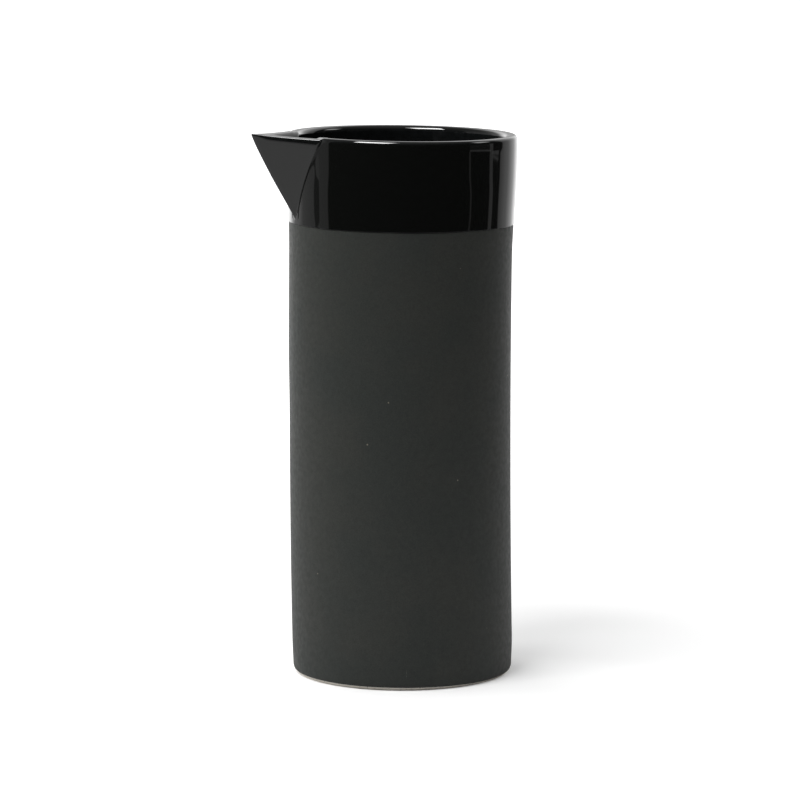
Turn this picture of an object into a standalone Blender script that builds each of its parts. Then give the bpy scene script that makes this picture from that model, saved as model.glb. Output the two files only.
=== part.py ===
"""Ceramic water jug: a tall straight cylinder with a folded, sharp-edged pouring spout.

Three pieces of fired clay carry everything: a base disc, a cylindrical wall standing on it, and a slab
folded into a V and luted to the outside of the wall, over a notch that lets the water through. Four coats
cover the clay: a matte coat on the lower body, a glossy band dipped over the rim, the same glaze round the
spout, and a glossy lining inside.

Metres, +Z up. The origin is the centre of the underside, the spout points along -X, and the jug is the
same on both sides of the plane y = 0.
"""

from math import asin, cos, pi, radians, sin

import bmesh
import bpy
from mathutils import Vector

# Outside of the body
BODY_RADIUS = 0.0475
JUG_HEIGHT = 0.2330

# Clay wall and base
CLAY_WALL = 0.0028
CLAY_LIP_ROUNDING = 0.0007
BASE_THICKNESS = 0.0055
FOOT_ROUNDING = 0.0016

# Coats on the clay
COAT_THICKNESS = 0.0004
COAT_WRAP = radians(18)
GLAZE_THICKNESS = 0.0007
GLAZE_EDGE_ROUNDING = 0.0004
LINING_THICKNESS = 0.0005
LINING_CORNER_ROUNDING = 0.0040
BAND_BELOW_SPOUT = 0.0006
DIP_DEPTH_INSIDE = 0.0120

# Spout, over its glaze: how far the tip stands out, how far the keel runs down, its width on the rim
SPOUT_REACH = 0.0200
SPOUT_DEPTH = 0.0357
SPOUT_WIDTH = 0.0394
SPOUT_CLAY = 0.0028
SPOUT_EDGE_ROUNDING = 0.0009

# Room between pieces that touch, and how far a cutter runs past what it cuts
SEAT_GAP = 0.0003
CUT_OVERRUN = 0.0020

# Fineness of round shapes
TURN_STEPS = 72
ARC_STEPS = 4
BEVEL_SEGMENTS = 3
SHARP_ANGLE = radians(30)
MERGE_DISTANCE = 0.00001

# Radii of the layers, from the outside in
coat_inner_radius = BODY_RADIUS - COAT_THICKNESS
band_radius = coat_inner_radius + GLAZE_THICKNESS
clay_radius = coat_inner_radius - SEAT_GAP
clay_bore = clay_radius - CLAY_WALL
lining_radius = clay_bore - SEAT_GAP
lining_bore = lining_radius - LINING_THICKNESS
lip_bore = lining_radius - GLAZE_THICKNESS

# Heights of the layers
clay_top = JUG_HEIGHT - GLAZE_THICKNESS - SEAT_GAP
wall_bottom = BASE_THICKNESS + SEAT_GAP
dip_bottom = JUG_HEIGHT - DIP_DEPTH_INSIDE
lining_top = dip_bottom - SEAT_GAP
lining_floor = wall_bottom + LINING_THICKNESS

# Depths below the spout's outer face: the far side of the outer glaze, of the clay and of the inner glaze
spout_clay_inset = GLAZE_THICKNESS + SEAT_GAP
spout_notch_inset = spout_clay_inset + SPOUT_CLAY
spout_skin_inset = spout_notch_inset + SEAT_GAP
channel_inset = spout_skin_inset + GLAZE_THICKNESS

# The spout's corners: its tip, the foot of its keel and the end of its near cheek on the rim
spread = asin(SPOUT_WIDTH / 2 / band_radius)
spout_tip = Vector((-band_radius - SPOUT_REACH, 0, JUG_HEIGHT))
keel_foot = Vector((-band_radius, 0, JUG_HEIGHT - SPOUT_DEPTH))
cheek_end = Vector((-band_radius * cos(spread), band_radius * sin(spread), JUG_HEIGHT))
cheek_normal = (cheek_end - spout_tip).cross(keel_foot - spout_tip).normalized()


def cheek_offset(inset):
    """How far a cheek's plane lies from the origin, once it is moved inwards by inset."""
    return cheek_normal.dot(spout_tip) - inset


def keel_height(radius, inset):
    """The height at which the keel between two inset cheeks is this far from the axis."""
    return (cheek_offset(inset) + cheek_normal.x * radius) / cheek_normal.z


# The band runs down to just below the place where the spout stands on the clay
band_bottom = keel_height(clay_radius, -SEAT_GAP) - BAND_BELOW_SPOUT
coat_top = band_bottom - SEAT_GAP

# Every wedge reaches this far in: just past the inner face of the wall at the notch's sides
wedge_back = -lip_bore * cos(spread) + CUT_OVERRUN
cut_top = JUG_HEIGHT + CUT_OVERRUN

CLAY = ("bare_clay", (0.40, 0.33, 0.26), 0.85)
MATTE_BLACK = ("matte_black_coat", (0.035, 0.037, 0.034), 0.70)
GLOSS_BLACK = ("gloss_black_glaze", (0.006, 0.006, 0.006), 0.06)


def clear_scene():
    """Removes every object, so that the file holds the jug alone."""
    for thing in list(bpy.data.objects):
        bpy.data.objects.remove(thing, do_unlink=True)


def new_collection(name):
    """Returns a new collection in the scene."""
    collection = bpy.data.collections.new(name)
    bpy.context.scene.collection.children.link(collection)
    return collection


def new_material(finish):
    """Returns a Principled material for a finish: its name, colour and roughness. No finish is metallic."""
    name, colour, roughness = finish
    material = bpy.data.materials.new(name)
    material.use_nodes = True
    shader = material.node_tree.nodes["Principled BSDF"]
    shader.inputs["Base Color"].default_value = (*colour, 1)
    shader.inputs["Roughness"].default_value = roughness
    shader.inputs["Metallic"].default_value = 0
    material.diffuse_color = (*colour, 1)
    material.roughness = roughness
    return material


def arc(centre, radius, start, end):
    """Points on an arc about centre = (radius from the axis, height). Angles are in degrees, 0 pointing out."""
    turns = [radians(start + (end - start) * step / ARC_STEPS) for step in range(ARC_STEPS + 1)]
    return [(centre[0] + radius * cos(turn), centre[1] + radius * sin(turn)) for turn in turns]


def turned(name, outline, closed, collection):
    """Turns an outline of (radius, height) points about the axis. It runs down its outer side."""
    mesh = bpy.data.meshes.new(name)
    last = len(outline) - 1
    edges = [(index, index + 1) for index in range(last)]
    if closed:
        edges.append((last, 0))
    mesh.from_pydata([(radius, 0, height) for radius, height in outline], edges, [])
    piece = bpy.data.objects.new(name, mesh)
    collection.objects.link(piece)
    screw = piece.modifiers.new("turn", "SCREW")
    screw.axis = "Z"
    screw.angle = 2 * pi
    screw.steps = TURN_STEPS
    screw.render_steps = TURN_STEPS
    screw.use_merge_vertices = True
    screw.merge_threshold = MERGE_DISTANCE
    screw.use_smooth_shade = True
    return piece


def cylinder(name, radius, bottom, top, collection):
    """A plain turned cylinder on the jug's axis."""
    return turned(name, [(0, top), (radius, top), (radius, bottom), (0, bottom)], False, collection)


def wedge(name, inset, top, overruns, collection):
    """The space between the spout's two cheek planes, each moved inwards by inset, and below the height top.

    Its back is an upright face inside the bore, a number of overruns past wedge_back. It is a cone of three
    sides, with its corners moved to the tip, the two ends of the back's top edge, and the keel's lower end.
    """
    back = wedge_back + overruns * CUT_OVERRUN
    offset = cheek_offset(inset)
    tip_place = ((offset - cheek_normal.z * top) / cheek_normal.x, 0, top)
    half_width = (offset - cheek_normal.x * back - cheek_normal.z * top) / cheek_normal.y
    shape = bmesh.new()
    bmesh.ops.create_cone(shape, cap_ends=True, segments=3, radius1=1, radius2=0, depth=1)
    bmesh.ops.remove_doubles(shape, verts=shape.verts, dist=MERGE_DISTANCE)
    foot = max(shape.verts, key=lambda corner: corner.co.z)
    tip = max((corner for corner in shape.verts if corner is not foot), key=lambda corner: corner.co.y)
    near, far = sorted((c for c in shape.verts if c not in (foot, tip)), key=lambda corner: corner.co.x)
    foot.co = (back, 0, keel_height(-back, inset))
    tip.co = tip_place
    near.co = (back, -half_width, top)
    far.co = (back, half_width, top)
    bmesh.ops.recalc_face_normals(shape, faces=shape.faces)
    mesh = bpy.data.meshes.new(name)
    shape.to_mesh(mesh)
    shape.free()
    piece = bpy.data.objects.new(name, mesh)
    collection.objects.link(piece)
    return piece


def boolean(piece, operation, other):
    """Adds an exact Boolean of piece with other."""
    modifier = piece.modifiers.new(other.name, "BOOLEAN")
    modifier.operation = operation
    modifier.solver = "EXACT"
    modifier.object = other


def cut(piece, *cutters):
    """Takes each cutter away from piece."""
    for cutter in cutters:
        boolean(piece, "DIFFERENCE", cutter)


def make_base_disc(collection):
    """The clay disc that the jug stands on: flat below, its lower edge rounded."""
    rounding_centre = (clay_radius - FOOT_ROUNDING, FOOT_ROUNDING)
    outline = [(0, BASE_THICKNESS), (clay_radius, BASE_THICKNESS)]
    outline += arc(rounding_centre, FOOT_ROUNDING, 0, -90)
    outline += [(0, 0)]
    return turned("base_disc", outline, False, collection)


def make_body_wall(collection):
    """The clay cylinder that stands on the base disc, with a rounded lip."""
    lip_height = clay_top - CLAY_LIP_ROUNDING
    outline = arc((clay_radius - CLAY_LIP_ROUNDING, lip_height), CLAY_LIP_ROUNDING, 90, 0)
    outline += [(clay_radius, wall_bottom), (clay_bore, wall_bottom)]
    outline += arc((clay_bore + CLAY_LIP_ROUNDING, lip_height), CLAY_LIP_ROUNDING, 180, 90)
    return turned("body_wall", outline, True, collection)


def make_matte_coat(collection):
    """The matte coat, from the lower edge of the glossy band to just above the foot, where the clay is bare."""
    rounding_centre = (clay_radius - FOOT_ROUNDING, FOOT_ROUNDING)
    inner_rounding = FOOT_ROUNDING + SEAT_GAP
    wrap = COAT_WRAP * 180 / pi
    outline = [(BODY_RADIUS, coat_top)]
    outline += arc(rounding_centre, inner_rounding + COAT_THICKNESS, 0, -wrap)
    outline += arc(rounding_centre, inner_rounding, -wrap, 0)
    outline += [(coat_inner_radius, coat_top)]
    return turned("matte_coat", outline, True, collection)


def make_rim_glaze(collection):
    """The dipped glaze: the glossy band outside, over the lip and a short way down inside."""
    lip_height = clay_top - CLAY_LIP_ROUNDING
    outer_centre = (clay_radius - CLAY_LIP_ROUNDING, lip_height)
    inner_centre = (clay_bore + CLAY_LIP_ROUNDING, lip_height)
    under_rounding = CLAY_LIP_ROUNDING + SEAT_GAP
    over_rounding = under_rounding + GLAZE_THICKNESS
    edge_centre = (band_radius - GLAZE_EDGE_ROUNDING, band_bottom + GLAZE_EDGE_ROUNDING)
    outline = arc(outer_centre, over_rounding, 90, 0)
    outline += arc(edge_centre, GLAZE_EDGE_ROUNDING, 0, -90)
    outline += [(coat_inner_radius, band_bottom)]
    outline += arc(outer_centre, under_rounding, 0, 90)
    outline += arc(inner_centre, under_rounding, 90, 180)
    outline += [(lining_radius, dip_bottom), (lip_bore, dip_bottom)]
    outline += arc(inner_centre, over_rounding, 180, 90)
    return turned("rim_glaze", outline, True, collection)


def make_inner_glaze(collection):
    """The lining of the floor and the wall inside, thicker in the corner, where the glaze pooled."""
    corner_centre = (lining_bore - LINING_CORNER_ROUNDING, lining_floor + LINING_CORNER_ROUNDING)
    outline = [(0, lining_floor)]
    outline += arc(corner_centre, LINING_CORNER_ROUNDING, -90, 0)
    outline += [(lining_bore, lining_top), (lining_radius, lining_top)]
    outline += [(lining_radius, wall_bottom), (0, wall_bottom)]
    return turned("inner_glaze", outline, False, collection)


def make_spout(collection, notch, wall_space):
    """The folded clay slab: a solid wedge, hollowed by the notch's wedge and ended at the wall."""
    piece = wedge("spout", spout_clay_inset, clay_top, 0, collection)
    cut(piece, notch, wall_space)
    return piece


def make_spout_glaze(collection, core, channel, bore):
    """The glaze round the slab: outside, over its edge, and inside down the channel and through the wall."""
    piece = wedge("spout_glaze", 0, JUG_HEIGHT, 0, collection)
    rounding = piece.modifiers.new("rounded_edges", "BEVEL")
    rounding.width = SPOUT_EDGE_ROUNDING
    rounding.segments = BEVEL_SEGMENTS
    rounding.limit_method = "NONE"
    cut(piece, core, channel, bore)
    return piece


def make_cutters(collection):
    """Returns the helpers that shape the spout and the wall round it, by name."""
    notch = wedge("notch", spout_notch_inset, cut_top, 1, collection)
    channel = wedge("channel", channel_inset, cut_top, 2, collection)
    skin_space = wedge("skin_space", spout_skin_inset, cut_top, 3, collection)
    wall_radius = clay_radius + SEAT_GAP
    wall_space = cylinder("wall_space", wall_radius, -CUT_OVERRUN, cut_top, collection)
    bore = cylinder("bore", lip_bore, 0, cut_top + CUT_OVERRUN, collection)
    # What the spout's glaze leaves free: the clay slab with its gap, and the wall beside the channel
    core = cylinder("core", wall_radius, -CUT_OVERRUN, cut_top, collection)
    slab_space = wedge("slab_space", GLAZE_THICKNESS, JUG_HEIGHT - GLAZE_THICKNESS, 0, collection)
    boolean(core, "UNION", slab_space)
    cut(core, skin_space)
    # Where the spout stands on the wall, the band is left out, down to the clay
    seat = wedge("seat", -SEAT_GAP, cut_top, 0, collection)
    clay_space = cylinder("clay_space", clay_radius, -CUT_OVERRUN, cut_top + CUT_OVERRUN, collection)
    cut(seat, clay_space)
    for helper in collection.objects:
        helper.hide_render = True
        helper.display_type = "WIRE"
    return {"notch": notch, "channel": channel, "wall_space": wall_space, "bore": bore, "core": core, "seat": seat}


def settle(piece, material, parent):
    """Turns a piece's modifiers into mesh, smooths its round faces, and gives it its material and parent."""
    graph = bpy.context.evaluated_depsgraph_get()
    mesh = bpy.data.meshes.new_from_object(piece.evaluated_get(graph))
    piece.modifiers.clear()
    piece.data = mesh
    mesh.name = piece.name
    mesh.shade_smooth()
    mesh.set_sharp_from_angle(angle=SHARP_ANGLE)
    mesh.materials.clear()
    mesh.materials.append(material)
    piece.parent = parent


def main():
    """Builds the jug's pieces and the cutters that shape them."""
    clear_scene()
    jug = new_collection("ceramic_water_jug")
    cutters = make_cutters(new_collection("cutters"))
    notch, seat = cutters["notch"], cutters["seat"]

    base_disc = make_base_disc(jug)
    body_wall = make_body_wall(jug)
    cut(body_wall, notch)
    spout = make_spout(jug, notch, cutters["wall_space"])
    matte_coat = make_matte_coat(jug)
    rim_glaze = make_rim_glaze(jug)
    cut(rim_glaze, seat, notch)
    spout_glaze = make_spout_glaze(jug, cutters["core"], cutters["channel"], cutters["bore"])
    inner_glaze = make_inner_glaze(jug)
    cut(inner_glaze, notch)

    axis = bpy.data.objects.new("jug_axis", None)
    jug.objects.link(axis)
    clay = new_material(CLAY)
    matte = new_material(MATTE_BLACK)
    gloss = new_material(GLOSS_BLACK)
    bpy.context.view_layer.update()
    for piece in (base_disc, body_wall, spout):
        settle(piece, clay, axis)
    settle(matte_coat, matte, axis)
    for piece in (rim_glaze, spout_glaze, inner_glaze):
        settle(piece, gloss, axis)


main()
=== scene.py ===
"""The looks of a ceramic water jug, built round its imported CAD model.

Everything is in metres in the CAD's frame: +Z up, the origin under the middle of the foot, the spout along
-X. Each coat and each body of clay is one closed shell. All of them are the same surface, r(turn, level,
inset), at other insets: a cylinder joined to the two slanting cheeks of the spout. Last, every point goes
through the same hand-made unevenness, so the layers keep their distance from each other. Fields whose names
end in rows or columns say how finely a stretch of a shape is divided.
"""

import logging
import math
from dataclasses import dataclass, field
from enum import Enum
from functools import reduce

import bpy
import numpy as np
from mathutils import Matrix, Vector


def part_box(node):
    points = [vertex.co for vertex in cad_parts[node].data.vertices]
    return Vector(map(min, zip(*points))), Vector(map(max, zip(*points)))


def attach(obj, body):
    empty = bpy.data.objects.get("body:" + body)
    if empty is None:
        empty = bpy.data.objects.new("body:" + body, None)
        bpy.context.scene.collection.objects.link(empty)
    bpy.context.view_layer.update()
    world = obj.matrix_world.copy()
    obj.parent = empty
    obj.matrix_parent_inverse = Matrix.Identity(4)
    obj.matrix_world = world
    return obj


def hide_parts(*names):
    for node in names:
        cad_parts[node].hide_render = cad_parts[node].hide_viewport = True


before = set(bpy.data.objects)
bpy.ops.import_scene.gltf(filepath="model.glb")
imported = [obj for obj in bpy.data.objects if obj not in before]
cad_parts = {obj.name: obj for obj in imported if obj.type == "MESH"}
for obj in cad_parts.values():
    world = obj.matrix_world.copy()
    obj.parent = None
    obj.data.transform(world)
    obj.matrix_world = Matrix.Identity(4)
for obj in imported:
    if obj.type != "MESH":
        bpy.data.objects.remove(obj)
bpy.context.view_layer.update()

Array = np.ndarray
Colour = tuple[float, float, float]
Socket = bpy.types.NodeSocket
MM = 0.001
RIGHT_ANGLE = math.pi / 2
FRONT = math.radians(21.651)
NOISE_MIDDLE = (0.35, 0.65)
LIP_GLAZE = 0.7 * MM
WHITE = (1.0, 1.0, 1.0)
LOG = logging.getLogger("jug")


class Slot(Enum):
    """The record's material slots."""

    CLAY = "clay"
    MATTE = "matte_coat"
    GLOSS = "gloss_glaze"


class Ends(Enum):
    """How a grid of points closes along its rows."""

    LOOP = "the last row joins the first"
    POLES = "the first and last rows each shrink to one point"


def smooth_step(value: Array, start: float, end: float) -> Array:
    """An S-shaped ramp, 3t^2 - 2t^3, from 0 at start to 1 at end, which may be the smaller of the two."""
    share = np.clip((value - start) / (end - start), 0.0, 1.0)
    return share * share * (3.0 - 2.0 * share)


def soft_max(first: Array, second: Array | float, blend: Array | float) -> Array:
    """The larger of two values a and b, with a rounded corner: half of a + b + sqrt((a - b)^2 + blend^2)."""
    return 0.5 * (first + second + np.sqrt((first - second) ** 2 + blend**2))


def bell(distance: Array, width: Array | float) -> Array:
    """A bell curve: exp(-(distance / width)^2)."""
    return np.exp(-((distance / width) ** 2))


def even(steps: int) -> Array:
    """The ends of so many even steps from 0 to 1, without the 0."""
    return np.linspace(0.0, 1.0, steps + 1)[1:]


def two_paces(middle: float, first: int, second: int) -> Array:
    """Shares from 0 to 1: so many even ones up to the middle, and so many from there on."""
    low = np.linspace(0.0, middle, first, endpoint=False)
    return np.concatenate([low, np.linspace(middle, 1.0, second)])


def full_turn(columns: int) -> Array:
    """The turn of each of so many even columns, from 0 to just under a full turn."""
    return np.linspace(0.0, math.tau, columns, endpoint=False)


def leg(start: Array | float, end: Array | float, shares: Array) -> Array:
    """Rows of values that run straight from start to end, one row for each share of the way."""
    return start + (end - start) * shares[:, None]


def rows_of(columns: int, *stretches: Array) -> Array:
    """The stretches of a profile one after the other, each spread over all columns."""
    return np.concatenate([np.broadcast_to(rows, (len(rows), columns)) for rows in stretches])


def place_round(radius: Array, turn: Array, level: Array) -> Array:
    """Points so far from the axis, at such a turn f from the keel: (-r cos f, r sin f, z)."""
    return np.stack([-radius * np.cos(turn), radius * np.sin(turn), level], axis=-1)


@dataclass(frozen=True)
class JugSizes:
    """The sizes of the jug's layers, read from the boxes of the CAD nodes."""

    height: float
    body_radius: float
    band_radius: float
    lip_bore: float
    clay_radius: float
    clay_top: float
    lining_radius: float
    lining_floor: float
    base_top: float
    dip_bottom: float

    @classmethod
    def from_frame(cls) -> "JugSizes":
        """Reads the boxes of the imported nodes.

        Returns:
            The sizes, in metres.
        """
        coat, rim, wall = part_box("matte_coat"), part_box("rim_glaze"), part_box("body_wall")
        lining, base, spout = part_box("inner_glaze"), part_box("base_disc"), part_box("spout_glaze")
        return cls(
            height=spout[1].z,
            body_radius=coat[1].y,
            band_radius=rim[1].y,
            lip_bore=lining[1].y - LIP_GLAZE,
            clay_radius=wall[1].y,
            clay_top=wall[1].z,
            lining_radius=lining[1].y,
            lining_floor=lining[0].z,
            base_top=base[1].z,
            dip_bottom=lining[1].z,
        )


@dataclass(frozen=True)
class HandMade:
    """What throwing, luting and firing did to the true shape.

    The body bows sideways, swells a little on one side, and spreads at the rim. The foot draws in, the rim
    stands a little aslant, and the spout's slab is set on with a twist and rises towards its tip.
    """

    height: float
    radius: float
    bow_turn: float = -FRONT
    bow: tuple[float, float, float] = (-4.791 * MM, 5.444 * MM, -0.663 * MM)
    girth: float = 0.22 * MM
    rim_spread: float = 0.78 * MM
    rim_spread_from_share: float = 0.75
    rim_lift: float = 0.25 * MM
    rim_slant: float = 0.20 * MM
    rim_lift_from: float = 200.0 * MM
    foot_spread: float = 0.045 * MM
    foot_share: float = 0.35
    foot_taper: float = 0.42 * MM
    foot_taper_slant: float = 0.4
    foot_taper_height: float = 14.0 * MM
    swell: float = 0.15 * MM
    swell_shares: tuple[float, float, float, float] = (0.48, 0.62, 0.76, 0.88)
    spout_from: float = 42.4 * MM
    spout_to: float = 44.0 * MM
    spout_low: float = 212.0 * MM
    spout_twist: float = 0.026
    spout_sag: float = 0.016
    tip_rise: float = 0.45 * MM
    tip_from: float = 45.0 * MM
    tip_span: float = 17.0 * MM

    def bend(self, points: Array) -> Array:
        """Moves points from the true shape to the fired one.

        The axis moves sideways by c(s) = c1 s + c2 s^2 + c3 s^3, where s is the share of the height. Above
        the foot each level section also tips by the slope of c, so that it stays square to the bent axis.

        Args:
            points: Points of the true shape, with x, y and z along the last axis.

        Returns:
            The moved points, in the same layout.
        """
        first, second, third = self.bow
        share = points[..., 2] / self.height
        shift = first * share + second * share**2 + third * share**3
        slope = (first + 2 * second * share + 3 * third * share**2) / self.height
        side = np.array([math.cos(self.bow_turn), math.sin(self.bow_turn)])
        level = points[..., :2] * (1.0 + self.spread(points, side) / self.radius)[..., None]
        tip = (level @ side) * slope * smooth_step(share, 0.0, self.foot_share)
        moved = np.empty_like(points)
        moved[..., :2] = level + shift[..., None] * side
        moved[..., 2] = points[..., 2] - tip + self.lift(points, side)
        return moved

    def spread(self, points: Array, side: Array) -> Array:
        """How much the radius grows at the body's surface.

        It is the sum of the girth, of an S-shaped ramp each for the rim, the foot and the foot's taper, and
        of a swelling half way up, which is all on the side opposite to the bow.

        Args:
            points: Points of the true shape.
            side: The level direction of the bow.

        Returns:
            The growth at each point.
        """
        share = points[..., 2] / self.height
        across = (points[..., :2] @ side) / self.radius
        rise, full, fall, none = self.swell_shares
        taper = smooth_step(points[..., 2], self.foot_taper_height, 0.0)
        swelling = smooth_step(share, rise, full) * smooth_step(share, none, fall)
        spread = self.girth + self.rim_spread * smooth_step(share, self.rim_spread_from_share, 1.0)
        spread += self.foot_spread * smooth_step(share, self.foot_share, 0.0)
        spread -= self.foot_taper * (1.0 + self.foot_taper_slant * across) * taper
        return spread + self.swell * (1.0 - across) * swelling

    def lift(self, points: Array, side: Array) -> Array:
        """How much the rim and the spout stand above their true height.

        The rim's lift changes in a straight line across the jug. The spout's is its twist times y, less its
        sag times the distance from the keel, plus a square curve towards the tip.

        Args:
            points: Points of the true shape.
            side: The level direction of the bow.

        Returns:
            The lift at each point.
        """
        level = points[..., 2]
        across = (points[..., :2] @ side) / self.radius
        rim = (self.rim_lift + self.rim_slant * across) * smooth_step(level, self.rim_lift_from, self.height)
        reach = -points[..., 0]
        spout = smooth_step(reach, self.spout_from, self.spout_to)
        spout = spout * smooth_step(level, self.spout_low, self.height)
        towards_tip = np.clip((reach - self.tip_from) / self.tip_span, 0.0, None)
        side_lift = self.spout_twist * points[..., 1] - self.spout_sag * np.abs(points[..., 1])
        return rim + spout * (side_lift + self.tip_rise * towards_tip**2)


@dataclass(frozen=True)
class JugForm:
    """The jug's outer form and everything parallel to it.

    A cheek of the spout is the plane n.p = c. Seen from the axis at a turn f from the keel, it lies at
    r = (c + b - d - nz z) / (m cos(f0 - f)), where b is its bulge, d the inset, m the level part of n and f0
    the turn at which the plane comes closest to the axis. The form's radius is the rounded maximum of the
    cylinder's and the cheek's.
    """

    sizes: JugSizes
    reach: float = 19.7 * MM
    depth: float = 35.9 * MM
    half_width: float = 19.8 * MM
    keel_rounding: float = 0.30 * MM
    crease_low: float = 0.16 * MM
    crease_high: float = 0.45 * MM
    inner_crease: float = 0.90 * MM
    cheek_bulge: float = 0.88 * MM
    groove_depth: float = 0.32 * MM
    groove_width: float = 0.24 * MM
    groove_top: float = 222.5 * MM
    groove_above_share: float = 0.30
    groove_full_inset: float = 0.2 * MM
    groove_no_inset: float = 0.7 * MM
    # The painted line of shade along the crease: its width, and how much of it there is above the crisp part
    crease_shade_width: float = 0.30 * MM
    crease_shade_above_share: float = 0.45
    notch_depth: float = 0.55 * MM
    notch_width: float = 0.50 * MM
    notch_from: float = 228.5 * MM
    notch_to: float = 231.0 * MM
    ramp: float = 1.5 * MM
    near_columns: int = 44
    far_columns: int = 150
    least_crease_turn: float = math.radians(4.0)
    normal: Array = field(init=False)
    offset: float = field(init=False)

    def __post_init__(self) -> None:
        """Works out the cheek's plane from the spout's tip, the foot of its keel and its end on the rim."""
        radius, height = self.sizes.band_radius, self.sizes.height
        spread = math.asin(self.half_width / radius)
        tip = np.array([-radius - self.reach, 0.0, height])
        foot = np.array([-radius, 0.0, height - self.depth])
        end = np.array([-radius * math.cos(spread), self.half_width, height])
        normal = np.cross(end - tip, foot - tip)
        normal /= np.linalg.norm(normal)
        object.__setattr__(self, "normal", normal)
        object.__setattr__(self, "offset", float(normal @ tip))

    @property
    def apex(self) -> float:
        """The height at which the keel meets the body."""
        return self.sizes.height - self.depth

    @property
    def square_turn(self) -> float:
        """The turn from the keel at which a cheek's plane comes closest to the axis."""
        return math.atan2(self.normal[1], -self.normal[0])

    def cheek_distance(self, level: Array, inset: Array, bulge_share: Array | float = 1.0) -> Array:
        """How far the cheek lies from the axis at its closest turn: (c + b - d - nz z) / m.

        The bulge b is a half sine wave over the spout's depth, times a share.

        Args:
            level: Heights.
            inset: Insets from the outer form.
            bulge_share: How much of the bulge there is, from 0 at the keel to 1 at the crease.

        Returns:
            The distances.
        """
        share = np.clip((level - self.apex) / self.depth, 0.0, 1.0)
        bulge = self.cheek_bulge * np.sin(math.pi * share) * bulge_share
        span = math.hypot(self.normal[0], self.normal[1])
        return (self.offset + bulge - inset - self.normal[2] * level) / span

    def crease_turn(self, level: Array, inset: Array) -> Array:
        """The turn from the keel at which the cheek meets the cylinder, never less than a small one.

        Args:
            level: Heights.
            inset: Insets from the outer form.

        Returns:
            The turns, in radians.
        """
        ratio = self.cheek_distance(level, inset) / (self.sizes.band_radius - inset)
        turn = self.square_turn - np.arccos(np.clip(ratio, -1.0, 1.0))
        return soft_max(turn, self.least_crease_turn, self.least_crease_turn / 2)

    def radius(self, turn: Array, level: Array, inset: Array) -> Array:
        """The form's distance from the axis.

        Args:
            turn: Turns from the keel, from 0 to pi on either side.
            level: Heights.
            inset: Insets from the outer form.

        Returns:
            The radii.
        """
        cylinder = self.sizes.band_radius - inset
        soft_turn = np.sqrt(turn**2 + (self.keel_rounding / cylinder) ** 2)
        past = np.clip(self.square_turn - soft_turn, 0.0, None)
        across = np.clip(turn / self.crease_turn(level, inset), 0.0, 1.0)
        cheek = self.cheek_distance(level, inset, across) / np.cos(past)
        rise = smooth_step(level, self.apex, self.sizes.height)
        outer = self.crease_low + (self.crease_high - self.crease_low) * rise
        depth = np.clip(inset / (self.sizes.band_radius - self.sizes.lip_bore), 0.0, 1.0)
        blend = outer + (self.inner_crease - outer) * depth
        return soft_max(cylinder, cheek, blend) - self.groove(turn, level, inset)

    def crease(self, turn: Array, level: Array, inset: Array) -> tuple[Array, Array, Array, Array]:
        """Where the crease between cheek and wall lies, and how it changes on its way up.

        Args:
            turn: Turns from the keel.
            level: Heights.
            inset: Insets from the outer form.

        Returns:
            The distance from the crease, how crisp it is, which ends part of the way up, how much of the
            notch at the lip there is, and how much of it all there is above the foot of the keel.
        """
        gap = (np.abs(turn) - self.crease_turn(level, inset)) * self.sizes.band_radius
        crisp = smooth_step(level, self.groove_top + self.ramp, self.groove_top - self.ramp)
        notch = smooth_step(level, self.notch_from, self.notch_to)
        return gap, crisp, notch, smooth_step(level, self.apex, self.apex + self.ramp)

    def groove(self, turn: Array, level: Array, inset: Array) -> Array:
        """How deep the groove is where a cheek meets the wall.

        Across the crease it is a bell curve. It is crisp low down, faint above, and ends in a wider notch at
        the lip. It leaves the inside of the wall alone.

        Args:
            turn: Turns from the keel.
            level: Heights.
            inset: Insets from the outer form.

        Returns:
            The depths.
        """
        gap, crisp, notch, present = self.crease(turn, level, inset)
        fine = self.groove_depth * (self.groove_above_share + (1.0 - self.groove_above_share) * crisp)
        cut = fine * bell(gap, self.groove_width) + self.notch_depth * notch * bell(gap, self.notch_width)
        return cut * smooth_step(inset, self.groove_no_inset, self.groove_full_inset) * present

    def seam(self, turn: Array, level: Array, inset: Array) -> Array:
        """How much painted shade lies along the crease where a cheek meets the wall: a bell curve across the
        crease.

        Args:
            turn: Turns from the keel.
            level: Heights.
            inset: Insets from the outer form.

        Returns:
            The shares, from 0 to 1.
        """
        gap, crisp, notch, present = self.crease(turn, level, inset)
        width = self.crease_shade_width + (self.notch_width - self.crease_shade_width) * notch
        share = self.crease_shade_above_share + (1.0 - self.crease_shade_above_share) * np.maximum(crisp, notch)
        return share * bell(gap, width) * present

    def turns(self, level: Array, inset: Array) -> Array:
        """The turn of each column: columns crowd at the keel and on both sides of the crease.

        From the keel to the crease they follow half a cosine wave, and from the crease to the back a
        quarter of one. The second half of the columns mirrors the first.

        Args:
            level: Heights, with one column for each column of the surface.
            inset: Insets, in the same layout.

        Returns:
            Signed turns from the keel: positive on the side of +Y.
        """
        crease = self.crease_turn(level, inset)
        near = 0.5 - 0.5 * np.cos(np.linspace(0.0, math.pi, self.near_columns + 1))
        far = 1.0 - np.cos(RIGHT_ANGLE * even(self.far_columns))
        half = np.concatenate([near, 1.0 + far])
        share = np.concatenate([half, half[-2:0:-1]])
        side = np.concatenate([np.ones(len(half)), -np.ones(len(half) - 2)])
        turn = np.where(share <= 1.0, share * crease, crease + (share - 1.0) * (math.pi - crease))
        return side * turn

    @property
    def columns(self) -> int:
        """How many columns go round the jug."""
        return 2 * (self.near_columns + self.far_columns)

    def place(self, turn: Array, level: Array, inset: Array) -> Array:
        """The form's points at signed turns from the keel, heights and insets."""
        return place_round(self.radius(np.abs(turn), level, inset), turn, level)


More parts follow.
